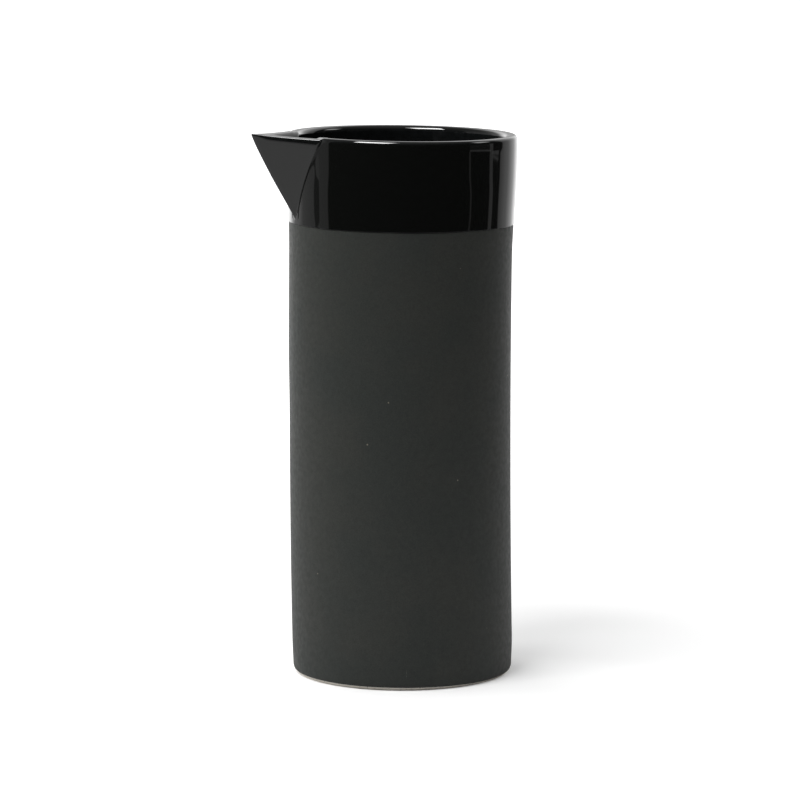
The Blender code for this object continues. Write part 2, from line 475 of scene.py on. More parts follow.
@dataclass(frozen=True)
class DipLine:
    """The line down to which the rim was dipped. Outside it waves a little, as the jug was held by hand."""

    level: float = 195.3 * MM
    waves: tuple[tuple[int, float, float], ...] = (
        (1, 0.10 * MM, 0.4),
        (3, 0.10 * MM, 1.1),
        (7, 0.07 * MM, 2.3),
        (17, 0.04 * MM, 0.9),
    )

    def height(self, turn: Array) -> Array:
        """The height of the line at each turn: its level plus a few sine waves round the jug."""
        return self.level + sum(size * np.sin(count * turn + phase) for count, size, phase in self.waves)


def grid_faces(rows: int, columns: int, ends: Ends) -> tuple[Array, Array]:
    """The faces of a grid of points that closes round its columns.

    Args:
        rows: The number of rows of points. With poles, the first and last have a single point.
        columns: The number of points in a full row.
        ends: How the grid closes along its rows.

    Returns:
        The quads as rows of four indices, and the triangles at the poles as rows of three.
    """
    around = np.arange(columns)
    after = (around + 1) % columns
    first, count = (0, rows) if ends is Ends.LOOP else (1, rows - 3)
    row = first + np.arange(count)[:, None] * columns
    below = (row + columns) % (rows * columns)
    quads = np.stack([row + around, row + after, below + after, below + around], axis=-1).reshape(-1, 4)
    if ends is Ends.LOOP:
        return quads, np.empty((0, 3), int)
    last = 1 + (rows - 2) * columns
    first_fan = np.stack([np.zeros(columns, int), 1 + after, 1 + around], axis=-1)
    last_fan = np.stack([np.full(columns, last), last - columns + around, last - columns + after], axis=-1)
    return quads, np.concatenate([first_fan, last_fan])


def signed_volume(points: Array, triangles: Array) -> float:
    """The volume in a closed mesh, negative where it is inside out: a sixth of the sum of a.(b x c)."""
    a, b, c = (points[triangles[:, corner]] for corner in range(3))
    return float(np.einsum("ij,ij->i", a, np.cross(b, c)).sum() / 6.0)


def put(name: str, data: bpy.types.ID) -> bpy.types.Object:
    """Puts a mesh, a light or a camera into the scene, as an object at the origin.

    Args:
        name: The object's name.
        data: The mesh, light or camera.

    Returns:
        The object.
    """
    thing = bpy.data.objects.new(name, data)
    bpy.context.scene.collection.objects.link(thing)
    return thing


def facing(right: Array, up: Array, back: Array, place: Array) -> Matrix:
    """The matrix of a camera or a light, from its three directions and its place."""
    return Matrix(np.vstack([np.stack([right, up, back, place], axis=1), [0.0, 0.0, 0.0, 1.0]]).tolist())


def make_shell(name: str, points: Array, ends: Ends) -> bpy.types.Object:
    """Makes a closed, smooth mesh object from a grid of points, with its faces pointing out.

    Args:
        name: The object's name.
        points: Rows and columns of points. With poles, only the first point of the end rows is used.
        ends: How the grid closes along its rows.

    Returns:
        The object, linked to the scene, at the origin.
    """
    rows, columns = points.shape[:2]
    flat = points.reshape(-1, 3)
    if ends is Ends.POLES:
        flat = np.concatenate([points[0, :1], points[1:-1].reshape(-1, 3), points[-1, :1]])
    quads, fans = grid_faces(rows, columns, ends)
    halves = np.concatenate([quads[:, [0, 1, 2]], quads[:, [0, 2, 3]], fans])
    if signed_volume(flat, halves) < 0:
        quads, fans = quads[:, ::-1], fans[:, ::-1]
    mesh = bpy.data.meshes.new(name)
    mesh.vertices.add(len(flat))
    mesh.vertices.foreach_set("co", flat.astype(np.float32).ravel())
    corners = np.concatenate([quads.ravel(), fans.ravel()]).astype(np.int32)
    counts = np.concatenate([np.full(len(quads), 4), np.full(len(fans), 3)])
    starts = np.concatenate([[0], np.cumsum(counts)[:-1]]).astype(np.int32)
    mesh.loops.add(len(corners))
    mesh.loops.foreach_set("vertex_index", corners)
    mesh.polygons.add(len(counts))
    mesh.polygons.foreach_set("loop_start", starts)
    mesh.update(calc_edges=True)
    mesh.validate()
    mesh.shade_smooth()
    return put(name, mesh)


def add_share(shell: bpy.types.Object, name: str, values: Array) -> None:
    """Stores one number for each point of a shell, for its material to read as an attribute."""
    attribute = shell.data.attributes.new(name, "FLOAT", "POINT")
    attribute.data.foreach_set("value", values.astype(np.float32).ravel())


class Recipe:
    """A node tree written step by step: each call adds a node, sets its values and joins its inputs."""

    def __init__(self, tree: bpy.types.NodeTree) -> None:
        """Starts with the emptied tree of a material or of the world."""
        self.tree = tree
        self.tree.nodes.clear()

    def add(self, kind: str, inputs: dict | None = None, **settings: object) -> bpy.types.Node:
        """Adds a node.

        Args:
            kind: The node's type, without the words ShaderNode.
            inputs: For each input, by name or index, a value or the socket that feeds it.
            settings: The node's own settings.

        Returns:
            The node.
        """
        node = self.tree.nodes.new("ShaderNode" + kind)
        for key, value in settings.items():
            setattr(node, key, value)
        for key, value in (inputs or {}).items():
            if isinstance(value, Socket):
                self.tree.links.new(value, node.inputs[key])
            else:
                node.inputs[key].default_value = value
        return node

    def math(self, operation: str, *values: object) -> Socket:
        """Adds a sum or other operation on numbers or sockets."""
        return self.add("Math", dict(enumerate(values)), operation=operation).outputs[0]

    def product(self, *values: object) -> Socket:
        """Multiplies numbers or sockets, one after the other."""
        return reduce(lambda first, second: self.math("MULTIPLY", first, second), values)

    def ramp(self, value: object, low: float, high: float, to_low: float = 0.0, to_high: float = 1.0,
             smooth: bool = False) -> Socket:
        """Maps low to to_low and high to to_high, straight or along an S, and stops there.

        Args:
            value: The number or socket to map.
            low: The value that becomes to_low.
            high: The value that becomes to_high.
            to_low: The result at low.
            to_high: The result at high.
            smooth: Whether the ramp is S-shaped.

        Returns:
            The result's socket.
        """
        inputs = {"Value": value, "From Min": low, "From Max": high, "To Min": to_low, "To Max": to_high}
        kind = "SMOOTHSTEP" if smooth else "LINEAR"
        return self.add("MapRange", inputs, interpolation_type=kind).outputs[0]

    def noise(self, where: Socket, size: float, detail: float = 2.0, roughness: float = 0.5) -> Socket:
        """Adds noise, 0.5 on average, with a grain in metres, and so many finer layers of such strength."""
        inputs = {"Vector": where, "Scale": 1.0 / size, "Detail": detail, "Roughness": roughness}
        return self.add("TexNoise", inputs).outputs["Fac"]

    def by_camera(self, unseen: Socket, seen: Socket) -> Socket:
        """Shows one shader to the camera and another to everything else."""
        camera = self.add("LightPath").outputs["Is Camera Ray"]
        return self.add("MixShader", {0: camera, 1: unseen, 2: seen}).outputs[0]

    def cells(self, where: Socket, size: float) -> bpy.types.Node:
        """Adds a pattern of cells of a size in metres, each round a point at random."""
        return self.add("TexVoronoi", {"Vector": where, "Scale": 1.0 / size})

    def mix(self, share: object, first: object, second: object) -> Socket:
        """Mixes two colours by the share of the second."""
        return self.add("Mix", {0: share, 6: first, 7: second}, data_type="RGBA").outputs[2]

    def bump(self, height: Socket, distance: float, after: Socket | None = None) -> Socket:
        """Adds a bump.

        Args:
            height: The socket of its pattern, from 0 to 1.
            distance: How high 1 stands, in metres.
            after: The bump that it is laid on, if any.

        Returns:
            The normal's socket.
        """
        inputs = {"Height": height, "Distance": distance, "Strength": 1.0}
        below = {} if after is None else {"Normal": after}
        return self.add("Bump", {**inputs, **below}).outputs[0]


def opaque(colour: Colour) -> tuple[float, float, float, float]:
    """A colour with full opacity."""
    return (*colour, 1.0)


@dataclass(frozen=True)
class Finish:
    """A finish of the jug. Its patterns lie on Object coordinates."""

    name: str

    def inputs(self, recipe: Recipe, where: Socket) -> dict[str, object]:
        """The inputs of its shader, which each finish works out in its own way."""
        raise NotImplementedError

    def material(self) -> bpy.types.Material:
        """Builds the material.

        Returns:
            The material.
        """
        material = bpy.data.materials.new(self.name)
        material.use_nodes = True
        recipe = Recipe(material.node_tree)
        where = recipe.add("TexCoord").outputs["Object"]
        shader = recipe.add("BsdfPrincipled", self.inputs(recipe, where))
        recipe.add("OutputMaterial", {"Surface": shader.outputs[0]})
        return material


@dataclass(frozen=True)
class MatteCoat(Finish):
    """Matte black coat: clouded, finely speckled, with a few pale grains and one pale scuff by the foot."""

    name: str = "matte_black_coat"
    colour: Colour = (0.0236, 0.0274, 0.0242)
    cloud_colour: Colour = (0.0282, 0.0303, 0.0262)
    grain_colour: Colour = (0.17, 0.15, 0.12)
    scuff_colour: Colour = (0.075, 0.074, 0.070)
    refraction: float = 1.45
    cloud: float = 28.0 * MM
    speckle: float = 0.55 * MM
    speckle_range: tuple[float, float, float, float] = (0.30, 0.72, 0.80, 1.22)
    tooth: float = 0.35 * MM
    tooth_height: float = 0.012 * MM
    grain_cell: float = 7.5 * MM
    grain_radius_share: float = 0.036
    grain_edge: float = 1.6
    grain_rarity: float = 0.84
    wear: float = 2.2 * MM
    wear_range: tuple[float, float, float, float] = (0.3, 0.7, 0.50, 0.64)
    scuff_turn: float = -FRONT
    scuff_side: float = 1.6 * MM
    scuff_half_width: float = 0.16 * MM
    scuff_full_share: float = 0.4
    scuff_bottom: float = 5.5 * MM
    scuff_top: float = 9.8 * MM
    scuff_fade: float = 0.8 * MM
    scuff_gap: float = 0.6 * MM
    scuff_gap_range: tuple[float, float] = (0.35, 0.55)

    def inputs(self, recipe: Recipe, where: Socket) -> dict[str, object]:
        """The inputs of its shader.

        Args:
            recipe: The material's node tree.
            where: The socket with the coordinates.

        Returns:
            A value or a socket for each input.
        """
        clouds = recipe.ramp(recipe.noise(where, self.cloud, 3.0), *NOISE_MIDDLE, smooth=True)
        colour = recipe.mix(clouds, opaque(self.colour), opaque(self.cloud_colour))
        speckle = recipe.ramp(recipe.noise(where, self.speckle), *self.speckle_range)
        colour = recipe.add("VectorMath", {0: colour, "Scale": speckle}, operation="SCALE").outputs[0]
        colour = recipe.mix(self.grains(recipe, where), colour, opaque(self.grain_colour))
        colour = recipe.mix(self.scuff(recipe, where), colour, opaque(self.scuff_colour))
        tooth = recipe.noise(where, self.tooth, 3.0, 0.6)
        return {
            "Base Color": colour,
            "Roughness": recipe.ramp(recipe.noise(where, self.wear), *self.wear_range),
            "IOR": self.refraction,
            "Normal": recipe.bump(tooth, self.tooth_height),
        }

    def grains(self, recipe: Recipe, where: Socket) -> Socket:
        """Sparse pale grains: points of a cell pattern, shown in about one cell in six.

        Args:
            recipe: The material's node tree.
            where: The socket with the coordinates.

        Returns:
            The socket of the mask.
        """
        cells = recipe.cells(where, self.grain_cell)
        small, large = self.grain_radius_share, self.grain_radius_share * self.grain_edge
        dot = recipe.ramp(cells.outputs["Distance"], small, large, 1.0, 0.0)
        draw = recipe.add("SeparateColor", {0: cells.outputs["Color"]}).outputs[0]
        return recipe.product(dot, recipe.math("GREATER_THAN", draw, self.grain_rarity))

    def scuff(self, recipe: Recipe, where: Socket) -> Socket:
        """One short upright scuff on the front, just above the foot.

        Args:
            recipe: The material's node tree.
            where: The socket with the coordinates.

        Returns:
            The socket of the mask.
        """
        shift, turned = (-self.scuff_side, 0, 0), (0, 0, -self.scuff_turn)
        mapped = recipe.add("Mapping", {"Vector": where, "Location": shift, "Rotation": turned}).outputs[0]
        parts = recipe.add("SeparateXYZ", {0: mapped})
        side = recipe.math("ABSOLUTE", parts.outputs[0])
        full = self.scuff_half_width * self.scuff_full_share
        width = recipe.ramp(side, full, self.scuff_half_width, 1.0, 0.0, smooth=True)
        above = recipe.ramp(parts.outputs[2], self.scuff_bottom, self.scuff_bottom + self.scuff_fade)
        below = recipe.ramp(parts.outputs[2], self.scuff_top - self.scuff_fade, self.scuff_top, 1.0, 0.0)
        front = recipe.math("LESS_THAN", parts.outputs[1], 0.0)
        broken = recipe.ramp(recipe.noise(where, self.scuff_gap), *self.scuff_gap_range)
        return recipe.product(width, above, below, front, broken)


@dataclass(frozen=True)
class GlossGlaze(Finish):
    """Glossy black glaze, which pools a little unevenly.

    It thins to a greyer black over sharp edges. Down the inside of the rim the same greyer black is painted
    all over, which is painted light in the dark inside of the jug. Along the spout's crease its reflection is
    taken away, a painted dark line of shade. It reads two point attributes for these, which are 0 where a
    piece has none.
    """

    name: str = "gloss_black_glaze"
    colour: Colour = (0.0030, 0.0034, 0.0030)
    # Greyer black of glaze thinned over edges, also painted all down the inside as painted light
    thin_and_painted_light_colour: Colour = (0.0085, 0.0095, 0.0100)
    refraction: float = 1.5
    patch: float = 2.5 * MM
    least_patch: float = 0.45
    wave: float = 9.0 * MM
    wave_height: float = 0.012 * MM
    peel: float = 1.3 * MM
    peel_height: float = 0.0007 * MM
    haze: float = 14.0 * MM
    rough_low: float = 0.025
    rough_high: float = 0.050
    shine: float = 0.5

    def inputs(self, recipe: Recipe, where: Socket) -> dict[str, object]:
        """The inputs of its shader.

        Args:
            recipe: The material's node tree.
            where: The socket with the coordinates.

        Returns:
            A value or a socket for each input.
        """
        # Greyer where the glaze thins over edges, and painted greyer down the inside as painted light
        thin_and_painted_light = recipe.add("Attribute", attribute_name="thin_and_painted_light_share").outputs["Fac"]
        # Where this is 1 the glaze loses its reflection along the crease: a painted dark line of shade
        seam = recipe.add("Attribute", attribute_name="crease_shade_share").outputs["Fac"]
        patches = recipe.ramp(recipe.noise(where, self.patch, 3.0), *NOISE_MIDDLE, self.least_patch, 1.0)
        thinned_and_painted_light = recipe.product(thin_and_painted_light, patches)
        haze = recipe.noise(where, self.haze)
        roughness = recipe.ramp(haze, *NOISE_MIDDLE, self.rough_low, self.rough_high)
        wave = recipe.bump(recipe.noise(where, self.wave, 1.0), self.wave_height)
        return {
            "Base Color": recipe.mix(thinned_and_painted_light, opaque(self.colour), opaque(self.thin_and_painted_light_colour)),
            # Along the crease the glaze loses its reflection: a painted dark line of shade
            "Roughness": recipe.math("MAXIMUM", roughness, seam),
            "IOR": self.refraction,
            "Specular IOR Level": recipe.ramp(seam, 0.0, 1.0, self.shine, 0.0),
            "Normal": recipe.bump(recipe.noise(where, self.peel, 1.0), self.peel_height, after=wave),
        }


@dataclass(frozen=True)
class BareClay(Finish):
    """Bare fired clay: sandy, with darker grains."""

    name: str = "bare_clay"
    colour: Colour = (0.78, 0.74, 0.67)
    dark_colour: Colour = (0.70, 0.65, 0.58)
    grain_colour: Colour = (0.07, 0.055, 0.045)
    cloud: float = 12.0 * MM
    cloud_range: tuple[float, float] = (0.3, 0.7)
    sand: float = 0.45 * MM
    sand_height: float = 0.05 * MM
    grain_cell: float = 1.6 * MM
    grain_range: tuple[float, float, float, float] = (0.10, 0.22, 0.8, 0.0)
    roughness: float = 0.88

    def inputs(self, recipe: Recipe, where: Socket) -> dict[str, object]:
        """The inputs of its shader.

        Args:
            recipe: The material's node tree.
            where: The socket with the coordinates.

        Returns:
            A value or a socket for each input.
        """
        clouds = recipe.ramp(recipe.noise(where, self.cloud, 4.0), *self.cloud_range, smooth=True)
        colour = recipe.mix(clouds, opaque(self.colour), opaque(self.dark_colour))
        grains = recipe.ramp(recipe.cells(where, self.grain_cell).outputs["Distance"], *self.grain_range)
        return {
            "Base Color": recipe.mix(grains, colour, opaque(self.grain_colour)),
            "Roughness": self.roughness,
            "Normal": recipe.bump(recipe.noise(where, self.sand, 4.0, 0.65), self.sand_height),
        }


def fit_out(shell: bpy.types.Object, material: bpy.types.Material, slot: Slot, *nodes: str) -> None:
    """Dresses a finished shell, fixes it to the jug's body and says which CAD nodes it stands for.

    Args:
        shell: The object.
        material: Its material.
        slot: The record's slot for its finish. It is not used.
        nodes: The CAD nodes that it replaces.
    """
    shell.data.materials.append(material)
    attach(shell, "root")
    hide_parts(*nodes)
    LOG.info("%s: %d faces, for %s", shell.name, len(shell.data.polygons), ", ".join(nodes))


@dataclass(frozen=True)
class WipedFoot:
    """The line to which the coat was wiped off the foot: how far round the foot's rounding it comes.

    It wanders a little by two waves, and comes lower round one turn, by a bell curve.
    """

    middle: float = math.radians(25.6)
    rounding: float = 3.0 * MM
    wander: float = 0.01
    waves: tuple[tuple[int, float], ...] = ((5, 0.7), (11, 0.0))
    low_turn: float = math.radians(238.0)
    low_spread: float = math.radians(34.0)
    low_share: float = 0.26

    def wrap(self, turn: Array) -> Array:
        """The angle of the line on the rounding at each turn, counted down from the rounding's centre."""
        waves = self.wander * sum(1.0 + np.sin(count * turn + phase) for count, phase in self.waves)
        return self.middle * (1.0 - waves + self.low_share * bell(turn - self.low_turn, self.low_spread))


@dataclass(frozen=True)
class ClayBody:
    """The clay itself: the disc of the foot, and the wall with the spout, which the coats hide."""

    form: JugForm
    hand: HandMade
    wiped: WipedFoot
    foot_columns: int = 384
    proud: float = 0.55 * MM
    clear: float = 0.08 * MM
    bevel: float = 0.20 * MM
    draw_in: float = 1.1 * MM
    lip_rounding: float = 0.7 * MM
    seat_gap: float = 0.3 * MM
    clay_wall: float = 2.8 * MM
    foot_top_rows: int = 12
    foot_side_rows: int = 6
    foot_arc_rows: int = 10
    underside_rows: int = 23
    bevel_rows: int = 6
    step_rows: int = 4
    bare_rows: int = 4
    lip_rows: int = 4
    wall_low_share: float = 0.8
    wall_low_rows: int = 12
    wall_high_rows: int = 40

    def make_foot(self) -> bpy.types.Object:
        """The disc that the jug stands on: flat below, with its lower edge rounded.

        Its profile runs from the axis out over the top, down the side and round an arc, as far as the coat
        covers it. There it steps out until it is almost flush with the coat, and draws in again on its way
        down to a small bevel, and goes back to the axis along the underside.

        Returns:
            The object.
        """
        sizes, rounding, bevel = self.form.sizes, self.wiped.rounding, self.bevel
        turn = full_turn(self.foot_columns)
        wrap = self.wiped.wrap(turn)
        bend = leg(0.0, wrap, np.linspace(0.0, 1.0, self.foot_arc_rows))
        bevelled = np.linspace(0.0, RIGHT_ANGLE, self.bevel_rows)[:, None]
        inner, reach = sizes.clay_radius - rounding, rounding + self.proud
        end = wrap + self.clear / reach
        step = np.linspace(rounding, reach, self.step_rows)[:, None]
        foot, down = inner + reach * math.cos(self.wiped.middle) - self.draw_in, even(self.bare_rows + 1)[:-1]
        radius = rows_of(
            self.foot_columns,
            leg(0.0, sizes.clay_radius, np.linspace(0.0, 1.0, self.foot_top_rows)),
            np.full((self.foot_side_rows, 1), sizes.clay_radius),
            inner + rounding * np.cos(bend),
            inner + step * np.cos(end),
            leg(inner + reach * np.cos(end), foot, down),
            foot - bevel * (1.0 - np.cos(bevelled)),
            leg(foot - bevel, 0.0, even(self.underside_rows)),
        )
        level = rows_of(
            self.foot_columns,
            np.full((self.foot_top_rows, 1), sizes.base_top),
            leg(sizes.base_top, rounding, even(self.foot_side_rows + 1)[:-1]),
            rounding * (1.0 - np.sin(bend)),
            rounding - step * np.sin(end),
            leg(rounding - reach * np.sin(end), bevel, down),
            bevel * (1.0 - np.sin(bevelled)),
            np.zeros((self.underside_rows, 1)),
        )
        return make_shell("clay_foot", self.hand.bend(place_round(radius, turn, level)), Ends.POLES)

    def make_wall(self) -> bpy.types.Object:
        """The wall and the spout as one shell of clay, between an outer and an inner inset.

        Returns:
            The object.
        """
        form, sizes, lip = self.form, self.form.sizes, self.lip_rounding
        outer = sizes.band_radius - sizes.clay_radius
        inner, low, shoulder = outer + self.clay_wall, sizes.base_top + self.seat_gap, sizes.clay_top - lip
        up = two_paces(self.wall_low_share, self.wall_low_rows, self.wall_high_rows)[:, None]
        bend = RIGHT_ANGLE * even(self.lip_rows)[:, None]
        over = np.linspace(0.0, RIGHT_ANGLE, self.lip_rows + 1)[:, None]
        level = rows_of(
            form.columns,
            low + (shoulder - low) * up,
            shoulder + lip * np.sin(bend),
            shoulder + lip * np.cos(over),
            shoulder + (low - shoulder) * (1.0 - up[::-1])[1:],
        )
        inset = rows_of(
            form.columns,
            np.full_like(up, outer),
            outer + lip * (1.0 - np.cos(bend)),
            inner - lip * (1.0 - np.sin(over)),
            np.full_like(up[1:], inner),
        )
        points = form.place(form.turns(level, inset), level, inset)
        return make_shell("clay_wall", self.hand.bend(points), Ends.LOOP)

    def build(self, material: bpy.types.Material) -> None:
        """Makes and dresses both pieces."""
        fit_out(self.make_foot(), material, Slot.CLAY, "base_disc")
        fit_out(self.make_wall(), material, Slot.CLAY, "body_wall", "spout")


@dataclass(frozen=True)
class MatteSkin:
    """The matte coat: from just under the gloss dip down to a line just above the table."""

    form: JugForm
    hand: HandMade
    dip_line: DipLine
    wiped: WipedFoot
    thickness: float = 0.4 * MM
    flare: float = 0.20 * MM
    flare_height: float = 12.0 * MM
    under_dip: float = 0.05 * MM
    edge_rounding: float = 0.15 * MM
    columns: int = 384
    rows: int = 96
    rows_per_inner_row: int = 8
    arc_rows: int = 9
    edge_rows: int = 5
    first_climb: tuple[float, ...] = (0.0, 0.002)
    even_climb: tuple[float, float] = (0.004, 0.996)
    last_climb: tuple[float, ...] = (0.998, 0.9995, 1.0)

    def make_skin(self) -> bpy.types.Object:
        """The coat's shell.

        Its profile goes up the outside, over the upper edge, down the inside and round the lower edge,
        which wanders a little up and down, as the foot was wiped clean by hand.

        Returns:
            The object.
        """
        sizes, foot, edge = self.form.sizes, self.wiped.rounding, self.edge_rounding
        turn = full_turn(self.columns)
        top = self.dip_line.height(turn) - self.under_dip
        outer, inner = sizes.body_radius, sizes.body_radius - self.thickness
        centre = sizes.clay_radius - foot
        bends = np.linspace(1.0, 0.0, self.arc_rows)[:, None] * self.wiped.wrap(turn)
        over = np.linspace(0.0, RIGHT_ANGLE, self.edge_rows)[:, None]
        climb = np.concatenate([self.first_climb, np.linspace(*self.even_climb, self.rows), self.last_climb])
        back = climb[::-self.rows_per_inner_row]
        radius = rows_of(
            self.columns,
            centre + (outer - centre) * np.cos(bends[:-1]),
            leg(outer, outer, climb),
            outer - edge * (1.0 - np.cos(over)),
            leg(inner, inner, back),
            centre + (inner - centre) * np.cos(bends[::-1][1:]),
        )
        level = rows_of(
            self.columns,
            foot - (outer - centre) * np.sin(bends[:-1]),
            leg(foot, top - edge, climb),
            top - edge * (1.0 - np.sin(over)),
            leg(foot, top, back),
            foot - (inner - centre) * np.sin(bends[::-1][1:]),
        )
        radius = radius + self.flare * smooth_step(level, top - self.flare_height, top) * (radius > inner)
        return make_shell("matte_skin", self.hand.bend(place_round(radius, turn, level)), Ends.LOOP)

    def build(self, material: bpy.types.Material) -> None:
        """Makes and dresses the coat."""
        fit_out(self.make_skin(), material, Slot.MATTE, "matte_coat")


@dataclass(frozen=True)
class Lip:
    """A lip's rounding: a quarter of an ellipse, so far across the lip and so far down the wall."""

    across: float
    down: float


@dataclass(frozen=True)
class GlossDip:
    """The glossy glaze that the rim and the spout were dipped into, inside and out, as one shell."""

    form: JugForm
    hand: HandMade
    dip_line: DipLine
    thickness: float = 0.7 * MM
    build_up_low: float = 0.12 * MM
    build_up_high: float = 0.45 * MM
    build_up_height: float = 22.0 * MM
    bead_rounding: float = 0.10 * MM
    shoulder: float = 0.336 * MM
    shoulder_from: float = 6.0 * MM
    shoulder_to: float = -3.0 * MM
    ring_outside: Lip = Lip(1.25 * MM, 1.8 * MM)
    ring_inside: Lip = Lip(2.2 * MM, 2.3 * MM)
    spout_outside: Lip = Lip(0.9 * MM, 2.8 * MM)
    spout_inside: Lip = Lip(0.9 * MM, 2.0 * MM)
    tip_lip: Lip = Lip(0.4 * MM, 0.9 * MM)
    tip_turns: tuple[float, float] = (math.radians(0.5), math.radians(5.0))
    channel_low: float = 200.6 * MM
    channel_turn: float = math.radians(16.0)
    feather: float = 0.9 * MM
    lining_step: float = 0.2 * MM
    lip_thinning: float = 0.6
    keel_thinning: float = 0.7
    keel_width: float = 1.0 * MM
    ring_from: float = 0.96
    ring_to: float = 1.06
    fine_share: float = 0.18
    fine_rows: int = 26
    face_rows: int = 50
    stretch_rows: tuple[int, ...] = (24, 5, 24, 25, 4, 13, 3, 13, 3)
    bead_rows: int = 5
    passes: int = 4

    @property
    def wall(self) -> float:
        """The whole wall with its glaze, from the outer form to the lip's bore."""
        return self.form.sizes.band_radius - self.form.sizes.lip_bore

    @property
    def steps(self) -> list[Array]:
        """The shares at which each stretch of the profile has its points, in the profile's order."""
        outside = two_paces(self.fine_share, self.fine_rows, self.face_rows)
        return [outside, *(even(rows) for rows in self.stretch_rows), even(self.bead_rows + 1)[:-1]]

    def inner_edge(self, turn: Array) -> Array:
        """The height of the dip's edge inside at each turn: level round the bore, lower in the channel."""
        share = np.clip(np.abs(turn) / self.channel_turn, 0.0, 1.0)
        return self.channel_low + (self.form.sizes.dip_bottom - self.channel_low) * share

    def lip(self, turn: Array, spout: Lip, ring: Lip) -> tuple[Array, Array]:
        """The lip's rounding at each turn: the tip's, then the spout's, and from the crease on the ring's.

        Args:
            turn: Signed turns from the keel.
            spout: The rounding along the spout.
            ring: The rounding round the ring.

        Returns:
            How far it reaches across the lip and down the wall.
        """
        end = math.asin(self.form.half_width / self.form.sizes.band_radius)
        near = smooth_step(np.abs(turn), *self.tip_turns)
        far = smooth_step(np.abs(turn), end * self.ring_from, end * self.ring_to)
        across = self.tip_lip.across + (spout.across - self.tip_lip.across) * near
        down = self.tip_lip.down + (spout.down - self.tip_lip.down) * near
        return across + (ring.across - across) * far, down + (ring.down - down) * far

    def face(self, level: Array) -> Array:
        """The inset of the glaze's outer face, which stands prouder towards the rim, up to a soft shoulder.

        Args:
            level: Heights.

        Returns:
            The insets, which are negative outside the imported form.
        """
        rise = smooth_step(level, self.dip_line.level, self.dip_line.level + self.build_up_height)
        top = self.form.sizes.height
        shoulder = self.shoulder * smooth_step(level, top - self.shoulder_from, top - self.shoulder_to)
        return shoulder - self.build_up_low - (self.build_up_high - self.build_up_low) * rise

    def profile(self, turn: Array) -> tuple[Array, Array, Array]:
        """The closed profile in heights and insets.

        It runs up the outside, round the outer lip, over the top, round the inner lip, down the inside,
        round the feathered inner edge, back up beside the clay, over it and down its outside, along the
        seat on the clay, and round the bead of the lower edge. A lip is a quarter ellipse: its share s of a
        right angle stands at (1 - cos s, sin s) on the outside, and the other way round inside.

        Args:
            turn: Signed turns, with a row for each step of the profile.

        Returns:
            Heights, insets, and how much the glaze thins there or is painted greyer inside as painted light,
            in the same layout.
        """
        parts = np.split(turn, np.cumsum([len(shares) for shares in self.steps])[:-1])
        shares = [part[:, None] for part in self.steps]
        bends = [RIGHT_ANGLE * part for part in shares]
        top, wall, bead = self.form.sizes.height, self.wall, self.bead_rounding
        outer = [self.lip(part, self.spout_outside, self.ring_outside) for part in parts[:3]]
        inner = [self.lip(part, self.spout_inside, self.ring_inside) for part in parts[:5]]
        hidden_out, hidden_in, hidden_top = self.thickness, wall - self.thickness, top - self.thickness
        low = [self.dip_line.height(part) for part in parts]
        inside = [self.inner_edge(part) for part in parts]
        level = [
            low[0] + bead + (top - outer[0][1] - low[0] - bead) * shares[0],
            top - outer[1][1] * (1.0 - np.sin(bends[1])),
            np.full_like(shares[2], top),
            top - inner[3][1] * (1.0 - np.cos(bends[3])),
            top - inner[4][1] + (inside[4] - top + inner[4][1]) * shares[4],
            inside[5] - self.feather * shares[5],
            inside[6] - self.feather + (hidden_top - inside[6] + self.feather) * shares[6],
            np.full_like(shares[7], hidden_top),
            hidden_top + (low[8] - hidden_top) * shares[8],
            low[9],
            low[10] + bead * (1.0 - np.cos(bends[10])),
        ]
        crown = self.face(level[2]) + outer[2][0]
        inset = [
            self.face(level[0]),
            self.face(level[1]) + outer[1][0] * (1.0 - np.cos(bends[1])),
            crown + (wall - inner[2][0] - crown) * shares[2],
            wall - inner[3][0] * (1.0 - np.sin(bends[3])),
            np.full_like(shares[4], wall),
            wall - self.lining_step * np.sin(bends[5]) ** 2,
            np.full_like(shares[6], hidden_in),
            hidden_in + (hidden_out - hidden_in) * shares[7],
            np.full_like(shares[8], hidden_out),
            hidden_out + (self.face(level[9]) + bead - hidden_out) * shares[9],
            self.face(level[10]) + bead * (1.0 - np.sin(bends[10])),
        ]
        thin_and_painted_light = [np.zeros_like(part) for part in shares]
        thin_and_painted_light[1] = self.lip_thinning * np.sin(2.0 * bends[1])
        thin_and_painted_light[3] = smooth_step(shares[3], 0.5, 1.0)
        # Down the inside the glaze is painted fully greyer: painted light in the dark inside of the jug
        thin_and_painted_light[4] = np.ones_like(shares[4])
        return tuple(rows_of(self.form.columns, *stretches) for stretches in (level, inset, thin_and_painted_light))

    def make_dip(self) -> bpy.types.Object:
        """The glaze's shell. Its columns follow the crease, so heights and turns are worked out in turns.

        Returns:
            The object.
        """
        form = self.form
        level = np.full((sum(len(shares) for shares in self.steps), form.columns), form.sizes.height)
        turn = form.turns(level, np.zeros_like(level))
        for _ in range(self.passes):
            level, inset, thin_and_painted_light = self.profile(turn)
            turn = form.turns(level, inset)
        keel = bell(turn * form.sizes.band_radius, self.keel_width) * (level > form.apex)
        thin_and_painted_light = np.maximum(thin_and_painted_light, self.keel_thinning * keel)
        dip = make_shell("gloss_dip", self.hand.bend(form.place(turn, level, inset)), Ends.LOOP)
        add_share(dip, "thin_and_painted_light_share", thin_and_painted_light)
        # How much painted shade lies along the crease, on the outer face only
        add_share(dip, "crease_shade_share", form.seam(turn, level, inset) * (inset < 0.5 * self.thickness))
        return dip

    def build(self, material: bpy.types.Material) -> None:
        """Makes and dresses the glaze."""
        fit_out(self.make_dip(), material, Slot.GLOSS, "rim_glaze", "spout_glaze")


